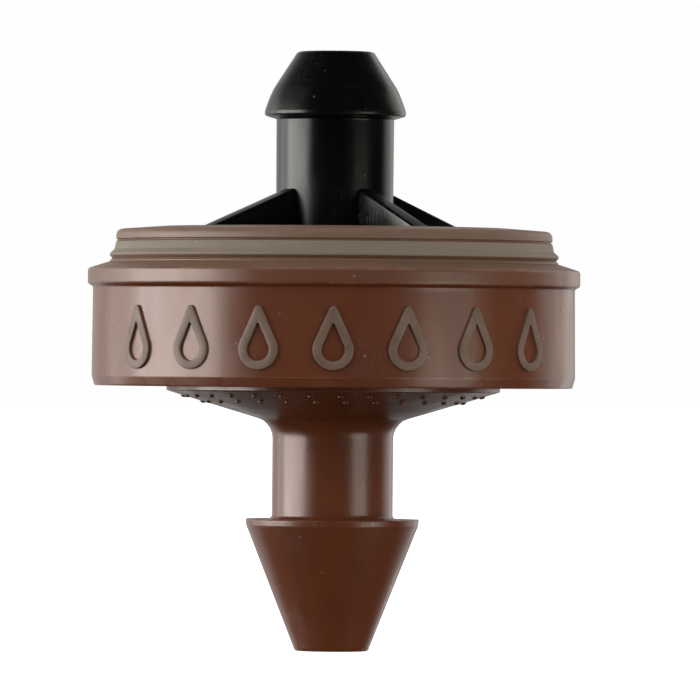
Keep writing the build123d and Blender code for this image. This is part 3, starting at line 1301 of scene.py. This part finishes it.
@dataclass
class OutletCap:
    """Black plate, seat, nipple with its rounded barb, and four gussets on two lines that cross on the axis."""

    bore_r: float = 1.10
    seat_r: float = 1.90
    seat_z: float = 5.74
    chamber_top_z: float = 6.00
    chamber_r: float = 6.40
    wall_bottom_z: float = 4.30
    wall_r: float = 7.84
    plate_z: float = 7.02
    nipple_r: float = 2.165
    lip_under_z: float = 11.58
    lip_r: float = 2.60
    lip_foot_z: float = 11.71
    lip_z: float = 11.86
    bulge_r: float = 2.45
    bulge_z: float = 12.30
    bulge_top_r: float = 2.25
    bulge_top_z: float = 12.74
    end_r: float = 1.385
    end_z: float = 14.09
    gusset_line_degs: tuple[float, ...] = (40.0, 122.0)
    gusset_thickness: float = 0.64
    gusset_root_z: float = 8.98
    gusset_end_r: float = 6.05
    gusset_end_z: float = 7.56
    gusset_embed: float = 0.50
    gusset_round: float = 0.09
    gusset_round_steps: int = 4
    ridge_height: float = 0.014
    mouth_round: float = 0.08
    nipple_root_round: float = 0.20
    lip_foot_round: float = 0.09
    lip_round: float = 0.03
    bulge_steps: int = 6
    bulge_round: float = 0.20
    end_round: float = 0.22

    def relief(self, angle: float, radius: float, height: float) -> float:
        """Give the parting ridge on the nipple.

        Args:
            angle: Angle round the axis, in radians.
            radius: Distance from the axis.
            height: Height on the axis.

        Returns:
            How far the surface stands out.
        """
        if height < self.plate_z + RIDGE_CLEARANCE or radius < self.end_r:
            return 0.0
        return seam_ridge(angle, radius, RIDGE_WIDTH, self.ridge_height)

    def bulge(self) -> list[Corner]:
        """Round the barb's side on the circle through its three given points.

        Returns:
            The corners from the lip up to the last but one.
        """
        start = Vector((self.lip_r, self.lip_z))
        middle = Vector((self.bulge_r, self.bulge_z))
        end = Vector((self.bulge_top_r, self.bulge_top_z))
        first, second = middle - start, end - start
        cross = 2 * first.cross(second)
        offset = Vector((
            (second.y * first.length_squared - first.y * second.length_squared) / cross,
            (first.x * second.length_squared - second.x * first.length_squared) / cross,
        ))
        centre = start + offset
        spoke = start - centre
        sweep = swept_angle(spoke, end - centre)
        corners = [Corner(start.x, start.y, self.lip_round)]
        for step in range(1, self.bulge_steps):
            spot = centre + Matrix.Rotation(sweep * step / self.bulge_steps, 2) @ spoke
            corners.append(Corner(spot.x, spot.y))
        return corners

    def make(self, palette: Palette, arrays: Arrays) -> list[bpy.types.Object]:
        """Build the cap and its two lines of gussets.

        Args:
            palette: The finished materials.
            arrays: The copy trees.

        Returns:
            The finished pieces.
        """
        corners = [
            Corner(self.bore_r, self.end_z, self.mouth_round),
            Corner(self.bore_r, self.seat_z, FINE_ROUND),
            Corner(self.seat_r, self.seat_z, FINE_ROUND),
            Corner(self.seat_r, self.chamber_top_z),
            Corner(self.chamber_r, self.chamber_top_z),
            Corner(self.chamber_r, self.wall_bottom_z),
            Corner(self.wall_r, self.wall_bottom_z),
            Corner(self.wall_r, self.plate_z),
            Corner(self.nipple_r, self.plate_z, self.nipple_root_round),
            Corner(self.nipple_r, self.lip_under_z, FINE_ROUND),
            Corner(self.lip_r, self.lip_foot_z, self.lip_foot_round),
            *self.bulge(),
            Corner(self.bulge_top_r, self.bulge_top_z, self.bulge_round),
            Corner(self.end_r, self.end_z, self.end_round),
        ]
        name = "outlet_cap_moulding"
        mesh = turned_mesh(name, corners, self.relief)
        pieces = [fixed_piece(name, mesh, palette.black, "outlet_cap")]
        for number, line_deg in enumerate(self.gusset_line_degs, start=1):
            name = f"outlet_gussets_{number}"
            mesh = arrays.ring.made(
                name, self.gusset_mesh(), palette.black, Count=2, First_Angle=math.radians(line_deg),
                Step_Angle=math.pi, Radius=0.0, Height=0.0, Lean=0.0, Size_Drift=0.0, Seed=number,
            )
            pieces.append(fixed_piece(name, mesh, None))
        return pieces

    def gusset_mesh(self) -> bpy.types.Mesh:
        """Build one gusset along local +X, with rounded edges, reaching into the nipple and the plate.

        Returns:
            The gusset's mesh, in millimetres.
        """
        slope = (self.gusset_root_z - self.gusset_end_z) / (self.gusset_end_r - self.nipple_r)
        inner_r = self.nipple_r - self.gusset_embed
        side = [
            (inner_r, self.plate_z - self.gusset_embed),
            (self.gusset_end_r, self.plate_z - self.gusset_embed),
            (self.gusset_end_r, self.gusset_end_z),
            (inner_r, self.gusset_root_z + slope * self.gusset_embed),
        ]
        half = self.gusset_thickness / 2
        shape = bmesh.new()
        rows = [[shape.verts.new((x, y, z)) for x, z in side] for y in (-half, half)]
        shape.faces.new(rows[0])
        shape.faces.new(rows[1][::-1])
        for index in range(len(side)):
            after = (index + 1) % len(side)
            shape.faces.new((rows[0][index], rows[1][index], rows[1][after], rows[0][after]))
        bmesh.ops.recalc_face_normals(shape, faces=shape.faces)
        bmesh.ops.bevel(
            shape, geom=shape.edges[:], offset=self.gusset_round, segments=self.gusset_round_steps, profile=0.5,
            affect="EDGES",
        )
        mesh = bpy.data.meshes.new("gusset")
        shape.to_mesh(mesh)
        shape.free()
        return mesh


@dataclass
class FlowControl:
    """The inner pieces that keep their CAD shape: filter, labyrinth disc and diaphragm."""

    finishes: dict[str, str] = field(default_factory=lambda: {
        "inlet_filter": "natural", "labyrinth_disc": "natural", "diaphragm": "silicone"})

    def dress(self, palette: Palette) -> list[bpy.types.Object]:
        """Give each inner piece its material.

        Args:
            palette: The finished materials.

        Returns:
            The CAD nodes that were dressed.
        """
        pieces = []
        for node, finish in self.finishes.items():
            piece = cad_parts[node]
            piece.data.materials.clear()
            piece.data.materials.append(getattr(palette, finish))
            pieces.append(piece)
        return pieces


# ---- studio -------------------------------------------------------------------------------------------------------


@dataclass(frozen=True)
class Softbox:
    """A soft area light that faces the object's middle, placed by compass angle from the front.

    It can be left out of the matt shading or of the reflections, as a flag beside a real softbox does.
    """

    name: str
    side_deg: float
    distance: float
    height: float
    width: float
    tall: float
    radiance: float
    colour: Colour = (1.0, 1.0, 1.0)
    diffuse: bool = True
    glossy: bool = True

    def make(self, middle: Vector) -> bpy.types.Object:
        """Hang the light and turn it to the object's middle.

        Args:
            middle: The point that it faces, in metres.

        Returns:
            The new light.
        """
        side = math.radians(self.side_deg)
        lamp = bpy.data.lights.new(self.name, "AREA")
        lamp.shape = "RECTANGLE"
        lamp.size, lamp.size_y = self.width, self.tall
        lamp.energy = LAMP_WATTS * self.width * self.tall * self.radiance
        lamp.color = self.colour
        item = bpy.data.objects.new(self.name, lamp)
        item.location = (self.distance * math.sin(side), -self.distance * math.cos(side), self.height)
        item.rotation_mode = "QUATERNION"
        item.rotation_quaternion = (middle - item.location).to_track_quat("-Z", "Y")
        item.visible_camera = False
        item.visible_diffuse = self.diffuse
        item.visible_glossy = self.glossy
        bpy.context.scene.collection.objects.link(item)
        return item


@dataclass
class Studio:
    """Pale floor, bright backdrop, soft lights and the main camera."""

    camera_at: tuple[float, float, float] = (0.00061, -0.3334, 0.00304)
    lens_mm: float = 462.8
    roll_deg: float = 0.45
    floor_half: float = 1.5
    floor_glow: float = 0.86
    floor_grey: Colour = (0.8, 0.8, 0.8)
    backdrop_level: float = 0.99
    backdrop_colour: Colour = (1.0, 1.0, 1.0)
    ambient_level: float = 0.86
    ambient_below: float = 0.008
    ambient_colour: Colour = (1.0, 0.985, 0.96)
    ambient_rise: tuple[float, float] = (-0.08, 0.26)
    ambient_top: tuple[float, float, float, float] = (0.45, 1.0, 1.0, 0.7)
    sweep_level: float = 0.55
    sweep_colour: Colour = (1.0, 0.99, 0.97)
    sweep_behind: tuple[float, float] = (0.30, 0.80)
    sweep_above_floor: tuple[float, float] = (-0.52, -0.25)
    sweep_under_ceiling: tuple[float, float, float, float] = (0.30, 0.55, 1.0, 0.45)
    sweep_to_left: tuple[float, float, float, float] = (-0.6, 0.6, 1.3, 0.8)
    front_level: float = 0.008
    lights: tuple[Softbox, ...] = (
        Softbox("key_softbox", -81.0, 0.30, 0.0175, 0.29, 0.205, 5.7, (1.0, 0.985, 0.94), diffuse=False),
        Softbox("key_fill", -81.0, 0.30, 0.0175, 0.29, 0.205, 2.7, (1.0, 0.985, 0.94), glossy=False),
        Softbox("key_wing", -120.0, 0.30, 0.0175, 0.14, 0.205, 1.4, (1.0, 0.985, 0.94)),
        Softbox("right_reflector", 53.0, 0.07, -0.014, 0.038, 0.042, 2.1, (1.0, 0.98, 0.87)),
        Softbox("right_rear_panel", 137.0, 0.32, 0.04, 0.26, 0.26, 0.65, (1.0, 0.95, 0.88)),
    )

    def make(self) -> None:
        """Build the whole studio."""
        low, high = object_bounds()
        middle = (low + high) / 2
        for light in self.lights:
            light.make(middle)
        self.make_world()
        self.make_floor(low.z)
        self.make_camera()

    def make_camera(self) -> None:
        """Set the main camera, level and turned by its small roll."""
        lens = bpy.data.cameras.new("main_camera")
        lens.sensor_width = 36.0
        lens.lens = self.lens_mm
        lens.clip_start, lens.clip_end = 0.01, 20.0
        camera = bpy.data.objects.new("main_camera", lens)
        bpy.context.scene.collection.objects.link(camera)
        camera.matrix_world = (
            Matrix.Translation(self.camera_at)
            @ Matrix.Rotation(math.pi / 2, 4, "X")
            @ Matrix.Rotation(math.radians(self.roll_deg), 4, "Z")
        )
        bpy.context.scene.camera = camera

    def make_floor(self, level: float) -> None:
        """Lay the pale floor, glowing a little so that it stays pale, and open from below.

        Args:
            level: The floor's height, in metres.
        """
        half = self.floor_half
        ground = [(x * half, y * half, level) for x, y in ((-1, -1), (1, -1), (1, 1), (-1, 1))]
        mesh = bpy.data.meshes.new("floor")
        mesh.from_pydata(ground, [], [(0, 1, 2, 3)])
        material = bpy.data.materials.new("pale_floor")
        material.use_nodes = True
        material.node_tree.nodes.clear()
        build = NodeTree(material.node_tree)
        glow = build.add("ShaderNodeEmission")
        glow.inputs["Strength"].default_value = self.floor_glow
        matt = build.add("ShaderNodeBsdfDiffuse")
        matt.inputs["Color"].default_value = (*self.floor_grey, 1.0)
        both = build.add("ShaderNodeAddShader")
        build.link(glow.outputs[0], both.inputs[0])
        build.link(matt.outputs[0], both.inputs[1])
        clear = build.add("ShaderNodeBsdfTransparent")
        sides = build.add("ShaderNodeMixShader")
        build.link(build.add("ShaderNodeNewGeometry").outputs["Backfacing"], sides.inputs[0])
        build.link(both.outputs[0], sides.inputs[1])
        build.link(clear.outputs[0], sides.inputs[2])
        output = build.add("ShaderNodeOutputMaterial")
        build.link(sides.outputs[0], output.inputs["Surface"])
        mesh.materials.append(material)
        floor = bpy.data.objects.new("floor", mesh)
        bpy.context.scene.collection.objects.link(floor)
        floor.visible_diffuse = False
        floor.visible_glossy = False
        floor.visible_shadow = False
        floor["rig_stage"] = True

    def make_world(self) -> None:
        """Make the room: a white backdrop where it is seen, a soft ambient, and a pale sweep for reflections."""
        world = bpy.data.worlds.new("studio_room")
        world.use_nodes = True
        bpy.context.scene.world = world
        world.node_tree.nodes.clear()
        build = NodeTree(world.node_tree)
        split = build.add("ShaderNodeSeparateXYZ")
        build.link(build.add("ShaderNodeTexCoord").outputs["Generated"], split.inputs[0])
        across, back, up = split.outputs
        ambient = build.ramp(up, *self.ambient_rise, self.ambient_below, self.ambient_level)
        ambient = build.maths("MULTIPLY", ambient, build.ramp(up, *self.ambient_top))
        behind = build.ramp(back, *self.sweep_behind)
        above_floor = build.ramp(up, *self.sweep_above_floor)
        under_ceiling = build.ramp(up, *self.sweep_under_ceiling)
        to_left = build.ramp(across, *self.sweep_to_left)
        sweep = build.maths("MULTIPLY", build.maths("MULTIPLY", behind, above_floor), under_ceiling)
        sweep = build.maths("MULTIPLY", sweep, to_left)
        mirrored = build.maths("MULTIPLY_ADD", sweep, self.sweep_level, self.front_level)
        seen = build.add("ShaderNodeLightPath")
        rooms = []
        for level, colour in (
            (ambient, self.ambient_colour),
            (mirrored, self.sweep_colour),
            (self.backdrop_level, self.backdrop_colour),
        ):
            room = build.add("ShaderNodeBackground")
            room.inputs["Color"].default_value = (*colour, 1.0)
            build.feed(level, room.inputs["Strength"])
            rooms.append(room.outputs[0])
        shown = rooms[0]
        for ray, room in (("Is Glossy Ray", rooms[1]), ("Is Camera Ray", rooms[2])):
            mix = build.add("ShaderNodeMixShader")
            build.link(seen.outputs[ray], mix.inputs[0])
            build.link(shown, mix.inputs[1])
            build.link(room, mix.inputs[2])
            shown = mix.outputs[0]
        output = build.add("ShaderNodeOutputWorld")
        build.link(shown, output.inputs["Surface"])
        bpy.context.scene.view_settings.view_transform = "Standard"


def main() -> None:
    """Build every piece in order, then the studio."""
    logging.basicConfig(level=logging.INFO, format="%(name)s: %(message)s")
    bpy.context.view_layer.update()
    palette = Palette.build(Effects.build())
    arrays = Arrays.build()
    made = [
        *InletBase().make(palette, arrays),
        *BodyShell().make(palette, arrays),
        *FlowControl().dress(palette),
        *OutletCap().make(palette, arrays),
        *RetainingRing().make(palette),
    ]
    for piece in made:
        node = next(iter(piece.get("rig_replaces", [])), None)
        fit = f", {fit_gap(piece, node):.3f} mm off {node}'s box" if node else ""
        log.info("%s: %d vertices%s", piece.name, len(piece.data.vertices), fit)
    Studio().make()


if __name__ == "__main__":
    main()
